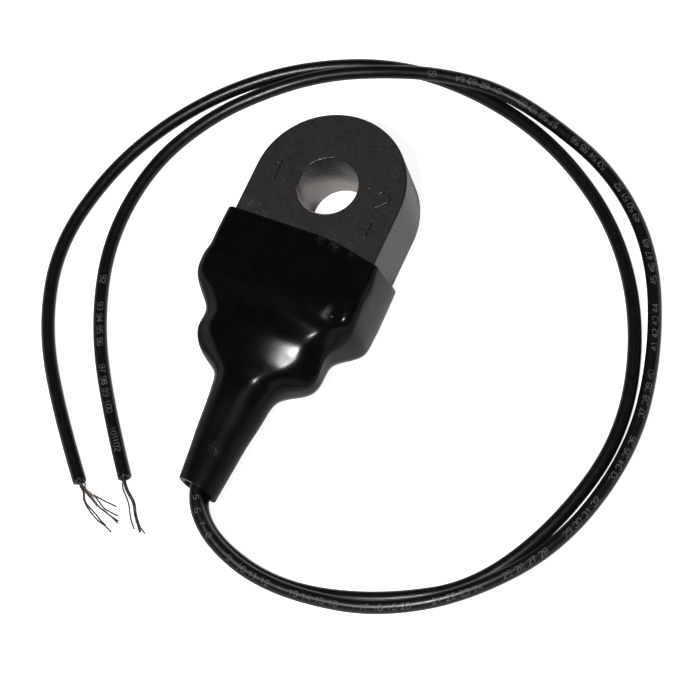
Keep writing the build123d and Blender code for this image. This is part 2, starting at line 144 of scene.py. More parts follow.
STRANDS_2 = [
    [(-21.3, -54.4, 0.25), (-20.6, -55.2, 0.2), (-20.2, -56.1, 0.15), (-19.2, -56.65, 0.1),
     (-18.78, -57.78, -0.1), (-17.93, -58.53, -0.3), (-17.14, -59.07, -0.5), (-15.92, -59.7, -0.59),
     (-14.74, -60.2, -0.59), (-13.53, -60.42, -0.59), (-12.26, -61.0, -0.59)],
    [(-21.2, -54.5, 0.1), (-20.5, -55.3, 0.0), (-20.0, -56.2, -0.05), (-19.1, -56.7, -0.1),
     (-18.7, -57.7, -0.3), (-17.9, -58.38, -0.5), (-16.84, -58.8, -0.59), (-15.63, -59.37, -0.59),
     (-14.33, -60.1, -0.59), (-13.6, -60.3, -0.5)],
    [(-21.25, -54.45, 0.4), (-20.45, -55.2, 0.35), (-19.95, -56.1, 0.3), (-19.04, -56.58, 0.25),
     (-18.19, -57.0, 0.0), (-16.91, -57.6, -0.2), (-16.06, -57.99, -0.42), (-15.04, -58.24, -0.42),
     (-13.98, -58.52, -0.42), (-12.87, -58.89, -0.5), (-11.9, -59.32, -0.58)],
    [(-21.3, -54.3, 0.4), (-20.5, -55.05, 0.45), (-19.8, -55.95, 0.45), (-19.0, -56.42, 0.3),
     (-17.83, -56.85, 0.1), (-16.56, -57.66, -0.4), (-15.87, -58.05, -0.59), (-14.65, -58.36, -0.59),
     (-13.06, -58.78, -0.59), (-11.97, -58.95, -0.59)],
    [(-21.15, -54.35, 0.5), (-20.35, -55.1, 0.55), (-19.6, -56.0, 0.4), (-19.05, -56.34, 0.1),
     (-18.02, -56.68, -0.1), (-17.13, -56.74, -0.4), (-16.25, -57.24, -0.59), (-15.23, -57.86, -0.59),
     (-14.44, -58.05, -0.59), (-12.45, -58.22, -0.59)],
    [(-21.2, -54.4, 0.6), (-20.4, -55.1, 0.65), (-19.75, -55.9, 0.6), (-19.0, -56.25, 0.5),
     (-18.2, -56.58, 0.2), (-17.0, -56.62, -0.2), (-15.76, -56.8, -0.35), (-14.6, -56.85, -0.5),
     (-13.34, -56.92, -0.59)],
    [(-21.1, -54.3, 0.45), (-20.3, -54.95, 0.5), (-19.8, -55.2, 0.45), (-19.32, -55.6, 0.35),
     (-19.2, -56.05, 0.2), (-19.4, -56.4, 0.0), (-18.5, -56.84, -0.2), (-17.2, -57.45, -0.45),
     (-16.2, -58.0, -0.35)],
]

# The boot down its length: distance from the window's axis, left, right, back, front, corner radius
# in front and behind, and how far the front is crowned, all in mm.
BOOT_FORM = [
    (8.45, -13.5, 13.25, -0.68, 12.4, 1.2, 1.2, 0.0),
    (13.0, -13.6, 13.35, -0.68, 12.42, 1.35, 1.2, 0.0),
    (15.3, -13.55, 13.4, -0.68, 12.44, 1.5, 1.3, 0.0),
    (16.0, -13.75, 13.45, -0.68, 12.6, 1.6, 1.4, 0.05),
    (17.0, -14.0, 13.45, -0.68, 12.62, 1.8, 1.6, 0.08),
    (19.0, -14.0, 13.5, -0.68, 12.55, 2.0, 2.0, 0.12),
    (20.2, -13.7, 13.45, -0.68, 12.36, 2.0, 2.2, 0.2),
    (20.9, -13.4, 13.4, -0.6, 12.12, 2.3, 2.5, 0.3),
    (22.5, -12.25, 12.3, -0.15, 11.5, 3.3, 3.0, 1.4),
    (24.2, -11.0, 10.75, 0.35, 11.5, 3.9, 3.6, 1.85),
    (25.1, -10.95, 10.45, 0.48, 11.55, 3.8, 3.9, 2.1),
    (25.8, -11.0, 10.33, 0.53, 11.5, 3.6, 4.0, 2.3),
    (27.0, -11.25, 10.33, 0.55, 11.15, 3.5, 4.0, 2.45),
    (28.2, -11.0, 10.33, 0.6, 10.75, 3.7, 4.0, 2.5),
    (29.4, -10.4, 10.05, 0.7, 10.32, 4.6, 3.7, 2.3),
    (30.4, -9.6, 9.45, 0.84, 9.88, 4.8, 3.4, 1.9),
    (31.6, -7.8, 7.3, 1.0, 9.28, 4.2, 3.1, 1.2),
    (33.0, -5.85, 5.15, 1.13, 8.92, 4.1, 3.0, 0.7),
    (35.0, -5.5, 4.45, 1.22, 8.68, 4.1, 3.0, 0.3),
    (38.0, -5.2, 4.15, 1.26, 8.38, 4.0, 2.9, 0.1),
    (42.0, -4.75, 3.62, 1.32, 8.15, 3.7, 2.9, 0.0),
    (51.2, -3.65, 2.95, 1.45, 7.98, 3.28, 3.1, 0.0),
]

# The form is evened out over its neighbourhood: steps of FORM_SPREAD mm, each with its share
FORM_SPREAD = 0.55
FORM_SHARES = [(-2, 1 / 16), (-1, 4 / 16), (0, 6 / 16), (1, 4 / 16), (2, 1 / 16)]

# The crown falls away from the middle by this power of the squared distance, and its top is soft
CROWN_POWER = 0.75
CROWN_SOFT = 0.2

# The boot's wall, which is thicker at the tail and thins out over this share of the length, and the
# radius of its edge at the mouth and the tail
BOOT_WALL = 0.65
TAIL_WALL = 0.95
TAIL_WALL_SHARE = 0.5
MOUTH_LIP = 0.22
TAIL_LIP = 0.12

# How finely the boot is divided: down its length outside and inside, and round each ring
BOOT_RINGS = 230
BOOT_INNER_RINGS = 60
LIP_STEPS = 5
CORNER_STEPS = 12
SIDE_STEPS = 14
FACE_STEPS = 36

# The least corner radius of a ring inside the wall
LEAST_ROUND = 0.3

# The sides bow out over the case: most at this height, less by a share at the back, none at the front,
# and less and less between two distances down the boot
SIDE_BOW = 0.5
SIDE_BOW_FADES = (20.0, 25.0)
SIDE_BOW_AT = 3.0
SIDE_BOW_BELOW = 0.6

# The right front edge is rounder over a stretch, which comes and goes between these distances
RIGHT_ROUNDER = 0.85
RIGHT_ROUNDER_FROM = (9.0, 13.5)
RIGHT_ROUNDER_TO = (14.0, 17.0)

# Small folds and a hollow in the front: x and distance, height, and reach in mm
FOLDS = [
    (8.5, 18.4, 0.09, 1.0), (10.0, 19.9, -0.34, 1.25), (6.4, 8.9, 0.08, 0.5), (3.2, 8.8, 0.06, 0.35),
]

# The skin is uneven by up to about this much, over patches of this size
UNEVENNESS = 0.035
UNEVEN_PATCH = 4.5

# The mouth's edge dips towards the tail round a front corner: its x and height, the reach across and up,
# and the distance over which the dip dies out
MOUTH_DIP = 1.55
MOUTH_DIP_AT = (13, 12)
MOUTH_DIP_REACH = (5.5, 11)
MOUTH_DIP_FADES = 7

# The tail is cut at a slant, which the rings take on from this distance
TAIL_SLANT = radians(10.0)
SLANT_FROM = 42.0

# Marks: plain signs in strokes, on a grid about 4 wide and 6 high
STROKES = {
    "0": [[(0, 1), (0, 5), (1, 6), (3, 6), (4, 5), (4, 1), (3, 0), (1, 0), (0, 1)]],
    "1": [[(0.8, 4.8), (2, 6), (2, 0)]],
    "2": [[(0, 5), (1, 6), (3, 6), (4, 5), (4, 4), (0, 0), (4, 0)]],
    "3": [[(0, 5), (1, 6), (3, 6), (4, 5), (4, 4), (3, 3), (4, 2), (4, 1), (3, 0), (1, 0), (0, 1)]],
    "4": [[(3, 0), (3, 6), (0, 2), (4, 2)]],
    "5": [[(4, 6), (0, 6), (0, 3.4), (3, 3.6), (4, 2.6), (4, 1), (3, 0), (1, 0), (0, 1)]],
    "6": [[(4, 5), (3, 6), (1, 6), (0, 5), (0, 1), (1, 0), (3, 0), (4, 1), (4, 2), (3, 3), (0, 2.6)]],
    "7": [[(0, 6), (4, 6), (2, 3), (1.6, 0)]],
    "8": [[(1, 3.2), (0, 4.1), (0, 5), (1, 6), (3, 6), (4, 5), (4, 4.1), (3, 3.2), (1, 3.2), (0, 2.2),
           (0, 1), (1, 0), (3, 0), (4, 1), (4, 2.2), (3, 3.2)]],
    "9": [[(4, 3.4), (1, 3), (0, 4), (0, 5), (1, 6), (3, 6), (4, 5), (4, 1), (3, 0), (1, 0), (0, 1)]],
    "+": [[(2, 0.6), (2, 5.4)], [(-0.4, 3), (4.4, 3)]],
}
SIGN_MIDDLE = (2, 3)
DIGIT_PITCH = 5.2

# On the case: sign, and the x and y of its middle. The grid's pitch, a stroke's width and its rise are
# in mm, and a long stroke is divided into steps of the grid.
CASE_MARKS = [("1", -8.75, -0.4), ("2", 9.2, -0.1), ("+", 9.3, -5.1)]
CASE_MARK_GRID = 0.57
CASE_MARK_WIDTH = 0.34
CASE_MARK_RISE = 0.16
CASE_MARK_STEP = 0.5

# On a lead: numbers that count along it in groups, over these distances from its pin, and face one way
COUNT_GRID = 0.15
COUNT_PITCH = 2.1
COUNT_GROUP = 4
COUNT_GAP = 2.6
COUNT_RANGES = [(14.0, 186.0), (252.0, 286.0)]
COUNT_WIDTH = 0.13
COUNT_RISE = 0.012
COUNT_FACES = Vector((0.35, -0.3, 0.9))
COUNT_STEP = 1.0

# A stroke's section: how deep its feet are sunk, and its shoulders as shares of half its width and of
# its height
RIDGE_SINK = 0.02
RIDGE_SHOULDER = (0.8, 0.7)
SHARPEST_MITRE = 0.5
SAME_POINT = 1e-6

# Scuffs, and one painted highlight on the boot's neck: places and reach in mm
SCUFF_AND_HIGHLIGHT_SIZE = 0.22
SCUFF_AND_HIGHLIGHT_GRIT = (0.56, 0.74)
SCUFF_AND_HIGHLIGHT_COLOUR = (0.16, 0.15, 0.14)
CASE_SCUFFS = [
    ((4.2, -8.0, 11.7), 1.6), ((7.6, -8.6, 11.7), 1.3), ((-10.6, -6.6, 11.7), 2.0),
    ((-7.5, -7.9, 11.7), 1.2),
]
BOOT_SCUFFS_AND_HIGHLIGHT = [
    ((3.2, -9.0, 12.4), 1.1), ((5.6, -9.2, 12.4), 1.4), ((8.6, -9.6, 12.4), 0.9),
    # A painted highlight where the neck's streak of light fades
    ((0.7, -45.0, 8.1), 1.4),
]

# The roughness has smaller patches than the colour, by this share
SMEAR_SHARE = 0.6
DUST_COLOUR = (0.32, 0.31, 0.29)

# The case keeps its roughness where it faces up or down and a share of it on walls and edges. In
# between it goes by how upright the surface's normal is.
CASE_FACE = (0.955, 0.99)
CASE_WALL_ROUGHNESS = 0.55

# Painted reflection of the lit bench on the bore's wall, lighter deeper down: full to none by height plus
# y, inside this radius
BORE_LIGHT_DEPTHS = (7.2, 10.4)
BORE_RADIUS = 5.0
BORE_REFLECTION_COLOUR = (0.31, 0.28, 0.27)

# The boot's neck is duller: from none to all of it by distance from the window's axis
DULL_NECK = (34.0, 38.0)
DULLER = 0.16

# The core's strip and the winding's wire: how close their turns are, and the colour between them
STRIP_SCALE = 520.0
STRIP_GAP_COLOUR = (0.12, 0.12, 0.12)
WIRE_SCALE = 900.0
WIRE_GAP_COLOUR = (0.16, 0.05, 0.02)

# The material slot of each CAD node, by the start of its name
NODE_SLOTS = {
    "case": "case", "core_cup": "cup_plastic", "core_lid": "cup_plastic", "core_ring": "core_steel",
    "joint_sleeve": "sleeve", "lead_conductor": "strand_metal", "lead_insulation": "insulation",
    "lead_strands": "strand_metal", "potting": "potting", "secondary": "copper", "shrink_boot": "boot",
    "solder": "solder", "tail_solder": "solder", "terminal_block": "block_plastic",
    "terminal_pin": "pin_metal", "winding_tail": "copper", "winding_tape": "tape",
}

# Light: a small key lamp, which gives the highlights, and a wide weak one that no reflection shows
KEY_AT = Vector((77.0, -196.0, 440.0)) * MM
KEY_TARGET = Vector((5.0, -20.0, 0.0)) * MM
KEY_SIZE = 0.05
KEY_POWER = 2.3
FILL_AT = Vector((0.3, -0.1, 0.9))
FILL_SIZE = 1.2
FILL_POWER = 0.5
FILL_TARGET = Vector((0.0, 0.0, 0.0))

# The bench, and how strongly it glows for the camera and in reflections
FLOOR_SIZE = 6.0
FLOOR_GAP = 0.02 * MM
FLOOR_COLOUR = (0.68, 0.68, 0.68, 1.0)
FLOOR_SEEN = 0.91
FLOOR_REFLECTED = 0.08

# The surround is white up to a height and nearly dark above another, where straight up is 1
WHITE_BELOW = 0.1
DARK_ABOVE = 0.3
DARK_LEVEL = 0.01


def link(name, data):
    obj = bpy.data.objects.new(name, data)
    bpy.context.collection.objects.link(obj)
    return obj


def smooth(t):
    """0 to 1 with a soft start and stop, and held outside."""
    t = min(max(t, 0.0), 1.0)
    return t * t * (3 - 2 * t)


def fade(value, ends):
    """How far a value has come from one end to the other, smoothly."""
    return smooth((value - ends[0]) / (ends[1] - ends[0]))


def camera():
    """The photograph's view."""
    data = bpy.data.cameras.new("camera")
    data.lens = LENS
    data.clip_start, data.clip_end = CAMERA_CLIP
    obj = link("camera", data)
    back = (CAMERA_AT - LOOK_AT).normalized()
    right = (CAMERA_RIGHT - back * CAMERA_RIGHT.dot(back)).normalized()
    turn = Matrix((right, back.cross(right), back)).transposed()
    obj.matrix_world = Matrix.Translation(CAMERA_AT) @ turn.to_4x4()
    bpy.context.scene.camera = obj


# Materials


def add(tree, kind, **values):
    """A node with its sockets set by name, or by number as _0, and its other settings."""
    node = tree.nodes.new("ShaderNode" + kind)
    for name, value in values.items():
        if hasattr(node, name):
            setattr(node, name, value)
            continue
        socket = node.inputs[int(name[1:]) if name[0] == "_" else name.replace("_", " ")]
        if isinstance(value, bpy.types.NodeSocket):
            tree.links.new(value, socket)
        else:
            socket.default_value = value
    return node


def calc(tree, operation, a, b):
    """The result of a Math node."""
    return add(tree, "Math", operation=operation, _0=a, _1=b).outputs[0]


def spread(tree, value, low, high, start=0.3, stop=0.7):
    """A value stretched from start ... stop, where noise usually lies, to low ... high, and held there."""
    node = add(tree, "MapRange", Value=value, From_Min=start, From_Max=stop, To_Min=low, To_Max=high)
    return node.outputs[0]


def mix(tree, share, a, b):
    """A colour that goes from a to b with share. Each is a colour or another node's output."""
    node = add(tree, "Mix", data_type="RGBA")
    sockets = [s for s in node.inputs if s.type == "RGBA"]
    for socket, value in zip(sockets, (a, b)):
        if isinstance(value, bpy.types.NodeSocket):
            tree.links.new(value, socket)
        else:
            socket.default_value = (*value, 1.0)
    tree.links.new(share, node.inputs[0])
    return next(s for s in node.outputs if s.type == "RGBA")


def specks(tree, place, pitch, size, share):
    """1 inside a few small round specks, 0 elsewhere. Their pitch and size are in mm."""
    cells = add(tree, "TexVoronoi", Vector=place, Scale=1 / (pitch * MM))
    near = calc(tree, "LESS_THAN", cells.outputs["Distance"], size / pitch)
    chosen = add(tree, "SeparateColor", _0=cells.outputs["Color"])
    few = calc(tree, "LESS_THAN", chosen.outputs[0], share)
    return calc(tree, "MULTIPLY", near, few)


def scuffs(tree, place, spots):
    """Small scratched specks within a reach of each spot, all in mm. Round the boot's neck spot they are a
    painted highlight.
    """
    grit = add(tree, "TexNoise", Vector=place, Scale=1 / (SCUFF_AND_HIGHLIGHT_SIZE * MM), Detail=3.0, Distortion=1.2)
    grit = spread(tree, grit.outputs[0], 0.0, 1.0, *SCUFF_AND_HIGHLIGHT_GRIT)
    near = 0.0
    for spot, reach in spots:
        away = add(tree, "VectorMath", operation="DISTANCE", _0=place, _1=Vector(spot) * MM)
        here = spread(tree, away.outputs["Value"], 1.0, 0.0, start=0.0, stop=reach * MM)
        near = calc(tree, "MAXIMUM", here, near)
    return calc(tree, "MULTIPLY", grit, near)


def finish(name, dark, light, patch, roughness, grains, metallic=0.0, specular=0.5, tint=None, dust=None,
           scuff_and_highlight_spots=None, edge=0.0, pattern=None):
    """A procedural material. Patches of patch mm vary its colour from dark to light and its
    roughness between two values. Each grain is a bump: its size in mm and its height in mm. Dust is
    the specks' pitch, size and share, edge softens the shading of edges over that many mm, and
    pattern changes the colour."""
    mat = bpy.data.materials.new(name)
    mat.use_nodes = True
    tree = mat.node_tree
    bsdf = tree.nodes["Principled BSDF"]
    bsdf.inputs["Metallic"].default_value = metallic
    bsdf.inputs["Specular IOR Level"].default_value = specular
    if tint:
        bsdf.inputs["Specular Tint"].default_value = (*tint, 1.0)
    place = add(tree, "TexCoord").outputs["Object"]
    cloud = add(tree, "TexNoise", Vector=place, Scale=1 / (patch * MM), Detail=6.0, Roughness=0.6)
    colour = mix(tree, spread(tree, cloud.outputs[0], 0.0, 1.0), dark, light)
    smear_scale = 1 / (patch * SMEAR_SHARE * MM)
    smear = add(tree, "TexNoise", Vector=place, Scale=smear_scale, Detail=4.0, Distortion=0.6)
    gloss = spread(tree, smear.outputs[0], *roughness)
    if pattern:
        colour = pattern(tree, place, colour)
    if dust:
        spots = specks(tree, place, *dust)
        colour = mix(tree, spots, colour, DUST_COLOUR)
        gloss = calc(tree, "MAXIMUM", gloss, spots)
    if scuff_and_highlight_spots:
        # Scuffs, and on the boot's neck a painted highlight, in a light matt colour
        marks = scuffs(tree, place, scuff_and_highlight_spots)
        colour = mix(tree, marks, colour, SCUFF_AND_HIGHLIGHT_COLOUR)
        gloss = calc(tree, "MAXIMUM", gloss, marks)
    normal = add(tree, "Bevel", samples=4, Radius=edge * MM).outputs[0] if edge else None
    for size, height in grains:
        grain = add(tree, "TexNoise", Vector=place, Scale=1 / (size * MM), Detail=3.0)
        bump = add(tree, "Bump", Strength=1.0, Distance=height * MM, Height=grain.outputs[0])
        if normal:
            tree.links.new(normal, bump.inputs["Normal"])
        normal = bump.outputs[0]
    tree.links.new(colour, bsdf.inputs["Base Color"])
    tree.links.new(gloss, bsdf.inputs["Roughness"])
    tree.links.new(normal, bsdf.inputs["Normal"])
    return mat


def case_finish():
    """Moulded plastic: a sparked, matt face, smoother walls and edges, and a painted reflection of the
    bench down the bore.
    """
    mat = finish(
        "case", dark=(0.0055, 0.0052, 0.005), light=(0.0165, 0.016, 0.0155), patch=0.6,
        roughness=(0.48, 0.64), grains=[(0.16, 0.025), (0.4, 0.03)], specular=0.55, tint=(1.0, 0.9, 0.87),
        dust=(0.9, 0.06, 0.12), scuff_and_highlight_spots=CASE_SCUFFS, edge=0.15,
    )
    tree = mat.node_tree
    bsdf = tree.nodes["Principled BSDF"]
    colour, gloss = (bsdf.inputs[name].links[0].from_socket for name in ("Base Color", "Roughness"))
    facing = add(tree, "SeparateXYZ", _0=add(tree, "NewGeometry").outputs["Normal"]).outputs["Z"]
    upright = add(tree, "Math", operation="ABSOLUTE", _0=facing).outputs[0]
    face = spread(tree, upright, CASE_WALL_ROUGHNESS, 1.0, *CASE_FACE)
    gloss = calc(tree, "MULTIPLY", gloss, face)
    place = add(tree, "TexCoord").outputs["Object"]
    # Painted reflection: the bore's wall gets a lighter colour deeper down, where it mirrors the lit bench
    height_and_y = add(tree, "VectorMath", operation="DOT_PRODUCT", _0=place, _1=(0, 1, 1))
    full, none = BORE_LIGHT_DEPTHS
    reflection_share = spread(tree, height_and_y.outputs["Value"], 1.0, 0.0, start=full * MM, stop=none * MM)
    flat = add(tree, "Mapping", Vector=place, Scale=(1, 1, 0)).outputs[0]
    out = add(tree, "VectorMath", operation="LENGTH", _0=flat).outputs["Value"]
    bore = calc(tree, "LESS_THAN", out, BORE_RADIUS * MM)
    painted_reflection = calc(tree, "MULTIPLY", reflection_share, bore)
    colour = mix(tree, painted_reflection, colour, BORE_REFLECTION_COLOUR)
    tree.links.new(colour, bsdf.inputs["Base Color"])
    tree.links.new(gloss, bsdf.inputs["Roughness"])
    return mat


def boot_finish():
    """Glossy shrunk sleeve, duller down its neck, with scuffs at the mouth and a painted highlight on the
    neck.
    """
    mat = finish(
        "boot", dark=(0.0018, 0.0018, 0.002), light=(0.0036, 0.0034, 0.0034), patch=3.0,
        roughness=(0.19, 0.25), grains=[(1.1, 0.004), (0.25, 0.0006)], specular=0.14,
        dust=(2.6, 0.06, 0.12), scuff_and_highlight_spots=BOOT_SCUFFS_AND_HIGHLIGHT,
    )
    tree = mat.node_tree
    rough = tree.nodes["Principled BSDF"].inputs["Roughness"]
    along = add(tree, "SeparateXYZ", _0=add(tree, "TexCoord").outputs["Object"]).outputs["Y"]
    none, whole = DULL_NECK
    duller = spread(tree, along, DULLER, 0.0, start=-whole * MM, stop=-none * MM)
    tree.links.new(calc(tree, "ADD", rough.links[0].from_socket, duller), rough)
    return mat


def wound(tree, place, colour):
    """Fine rings round the window's axis, as the turns of a strip show on the core's ends."""
    rings = add(tree, "TexWave", wave_type="RINGS", rings_direction="Z", Vector=place, Scale=STRIP_SCALE,
                Distortion=0.4, Detail=1.0)
    gap = spread(tree, rings.outputs[1], 0.0, 0.6, start=0.2, stop=0.8)
    return mix(tree, gap, colour, STRIP_GAP_COLOUR)


def turns(tree, place, colour):
    """Close dark gaps between turns of wire, in uneven bands across the x axis."""
    bands = add(tree, "TexWave", Vector=place, Scale=WIRE_SCALE, Distortion=1.5, Detail=2.0)
    wire = spread(tree, bands.outputs[1], 0.0, 0.7, start=0.1, stop=0.6)
    return mix(tree, wire, WIRE_GAP_COLOUR, colour)


def finishes():
    """Every finish by its name."""
    looks = {
        "insulation": dict(
            dark=(0.002, 0.002, 0.0022), light=(0.0045, 0.0045, 0.0046), patch=2.0,
            roughness=(0.29, 0.37), grains=[(0.9, 0.004), (0.2, 0.001)], specular=0.42,
        ),
        "strand_metal": dict(
            dark=(0.05, 0.038, 0.032), light=(0.22, 0.18, 0.15), patch=0.7,
            roughness=(0.3, 0.5), grains=[(0.12, 0.004)], metallic=1.0,
        ),
        "ink": dict(
            dark=(0.03, 0.03, 0.032), light=(0.13, 0.13, 0.135), patch=1.6,
            roughness=(0.4, 0.6), grains=[(0.1, 0.003)],
        ),
        "potting": dict(
            dark=(0.006, 0.006, 0.006), light=(0.016, 0.015, 0.015), patch=2.5,
            roughness=(0.3, 0.5), grains=[(1.8, 0.03), (0.35, 0.01)], dust=(1.1, 0.12, 0.1),
        ),
        "core_steel": dict(
            dark=(0.2, 0.2, 0.21), light=(0.36, 0.35, 0.34), patch=1.5,
            roughness=(0.25, 0.45), grains=[(0.3, 0.004)], metallic=1.0, pattern=wound,
        ),
        "cup_plastic": dict(
            dark=(0.62, 0.58, 0.48), light=(0.76, 0.73, 0.64), patch=2.0,
            roughness=(0.35, 0.5), grains=[(0.3, 0.008)], edge=0.1,
        ),
        "copper": dict(
            dark=(0.34, 0.1, 0.03), light=(0.62, 0.26, 0.1), patch=1.0,
            roughness=(0.2, 0.4), grains=[(0.12, 0.03)], metallic=1.0, pattern=turns,
        ),
        "tape": dict(
            dark=(0.45, 0.26, 0.03), light=(0.66, 0.44, 0.07), patch=1.6,
            roughness=(0.15, 0.3), grains=[(0.9, 0.02), (0.2, 0.003)],
        ),
        "block_plastic": dict(
            dark=(0.012, 0.012, 0.012), light=(0.024, 0.023, 0.022), patch=1.0,
            roughness=(0.4, 0.55), grains=[(0.15, 0.01)], edge=0.1,
        ),
        "pin_metal": dict(
            dark=(0.42, 0.4, 0.35), light=(0.62, 0.6, 0.54), patch=0.8,
            roughness=(0.22, 0.4), grains=[(0.15, 0.004)], metallic=1.0,
        ),
        "solder": dict(
            dark=(0.4, 0.4, 0.4), light=(0.62, 0.61, 0.6), patch=0.6,
            roughness=(0.18, 0.4), grains=[(0.3, 0.02)], metallic=1.0,
        ),
        "sleeve": dict(
            dark=(0.008, 0.008, 0.008), light=(0.02, 0.02, 0.02), patch=1.2,
            roughness=(0.25, 0.4), grains=[(0.5, 0.01)],
        ),
    }
    mats = {"case": case_finish(), "boot": boot_finish()}
    for name, look in looks.items():
        mats[name] = finish(name, **look)
    return mats


# Leads


def smooth_curve(name, routes, steps):
    """A curve with a NURBS spline for each route, whose control points are the route's own."""
    data = bpy.data.curves.new(name, "CURVE")
    data.dimensions = "3D"
    data.resolution_u = steps
    for route in routes:
        spline = data.splines.new("NURBS")
        spline.points.add(len(route) - 1)
        for point, place in zip(spline.points, route):
            point.co = (*(Vector(place) * MM), 1.0)
        spline.order_u = 3
        spline.use_endpoint_u = True
    return link(name, data)


def centreline(points):
    """The points of a lead's smooth line."""
    obj = smooth_curve("line", [points], LEAD_STEPS)
    mesh = bpy.data.meshes.new_from_object(obj)
    line = [v.co.copy() for v in mesh.vertices]
    bpy.data.objects.remove(obj)
    bpy.data.meshes.remove(mesh)
    return line


def frames(line, facing):
    """At each point of a line: the point, the ways along it and to its side, and one towards facing."""
    out = []
    for i, point in enumerate(line):
        along = (line[min(i + 1, len(line) - 1)] - line[max(i - 1, 0)]).normalized()
        side = along.cross(facing).normalized()
        out.append((point, along, side, side.cross(along)))
    return out


def shaded_mesh(name, verts, faces):
    mesh = bpy.data.meshes.new(name)
    mesh.from_pydata(verts, [], faces)
    mesh.shade_smooth()
    return mesh


def closed_mesh(name, rings, loop=False):
    """A mesh through rings of points, closed by a face at each end, or by joining its ends."""
    around, count = len(rings[0]), len(rings)
    faces = []
    for i in range(count if loop else count - 1):
        for j in range(around):
            k = (j + 1) % around
            a, b = i * around, (i + 1) % count * around
            faces.append((a + j, a + k, b + k, b + j))
    if not loop:
        faces.append(tuple(reversed(range(around))))
        faces.append(tuple(range((count - 1) * around, count * around)))
    return shaded_mesh(name, [p for ring in rings for p in ring], faces)


def insulation(name, line):
    """A round tube along a line, cut off by hand at its far end, with its core's hole in the cut."""
    places = frames(line, Vector((0, 0, 1)))
    rings = []

    def ring(place, radius, past):
        point, along, side, up = place
        out = []
        for j in range(LEAD_SIDES):
            angle = 2 * pi * j / LEAD_SIDES
            way = side * cos(angle) + up * sin(angle)
            shift = Vector((0, 0, 0))
            if past is not None:
                ragged = noise.noise(way * CUT_LUMPS + point * CUT_VARIETY) * CUT_ROUGHNESS
                shift = along * (past + ragged) * MM
            out.append(point + way * radius * MM + shift)
        rings.append(out)

    for place in places[:-1]:
        ring(place, LEAD_RADIUS, None)
    for radius, past in CUT_END:
        ring(places[-1], max(radius, LEAST_RING), past)
    return link(name, closed_mesh(name, rings))


def strands(name, routes):
    """Bare strands, each a thin round wire."""
    obj = smooth_curve(name, routes, STRAND_STEPS)
    obj.data.bevel_depth = STRAND_RADIUS * MM
    obj.data.bevel_resolution = STRAND_ROUNDNESS
    obj.data.use_fill_caps = True
    return obj


# Marks


def ridge(points, width, rise, place):
    """Rings of a raised stroke along flat points, put on a surface by place(u, v, height)."""
    points = [Vector(p) for p in points]
    closed = (points[0] - points[-1]).length < SAME_POINT
    out, up = RIDGE_SHOULDER
    section = [(-1, -RIDGE_SINK), (-out, rise * up), (0, rise), (out, rise * up), (1, -RIDGE_SINK)]
    rings = []
    for i, point in enumerate(points):
        before = points[i - 1] if i else (points[-2] if closed else point)
        after = points[i + 1] if i + 1 < len(points) else (points[1] if closed else point)
        way_in = (point - before).normalized() if before != point else (after - point).normalized()
        way_out = (after - point).normalized() if after != point else way_in
        way = (way_in + way_out).normalized()
        across = Vector((-way.y, way.x)) * (width / 2) / max(way.dot(way_in), SHARPEST_MITRE)
        rings.append([place(*(point + across * share), height) for share, height in section])
    return rings


def finer(points, step):
    """The same corners, with points between them about a step apart."""
    out = [Vector(points[0])]
    for a, b in zip(points, points[1:]):
        a, b = Vector(a), Vector(b)
        pieces = max(1, round((b - a).length / step))
        out += [a.lerp(b, (k + 1) / pieces) for k in range(pieces)]
    return out


def strokes_mesh(name, strokes, width, rise):
    """One piece from strokes, each with its own way of lying on a surface."""
    verts, faces = [], []
    for points, place in strokes:
        rings = ridge(points, width, rise, place)
        start, around = len(verts), len(rings[0])
        verts += [p for ring in rings for p in ring]
        for i in range(len(rings) - 1):
            for j in range(around):
                k = (j + 1) % around
                a, b = start + i * around, start + (i + 1) * around
                faces.append((a + j, b + j, b + k, a + k))
        faces.append(tuple(start + j for j in range(around)))
        faces.append(tuple(reversed(range(len(verts) - around, len(verts)))))
    return link(name, shaded_mesh(name, verts, faces))


def case_marks():
    """Raised marks on the case's face: plain numbers for its two ends, and a plus sign."""
    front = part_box("case_shell")[1][2] / MM
    strokes = []
    for sign, x, y in CASE_MARKS:
        for points in STROKES[sign]:
            def place(u, v, height, x=x, y=y):
                across = (u - SIGN_MIDDLE[0]) * CASE_MARK_GRID
                upward = (v - SIGN_MIDDLE[1]) * CASE_MARK_GRID
                return Vector((x + across, y + upward, front + height)) * MM
            strokes.append((finer(points, CASE_MARK_STEP), place))
    return strokes_mesh("case_marks", strokes, CASE_MARK_WIDTH / CASE_MARK_GRID, CASE_MARK_RISE)


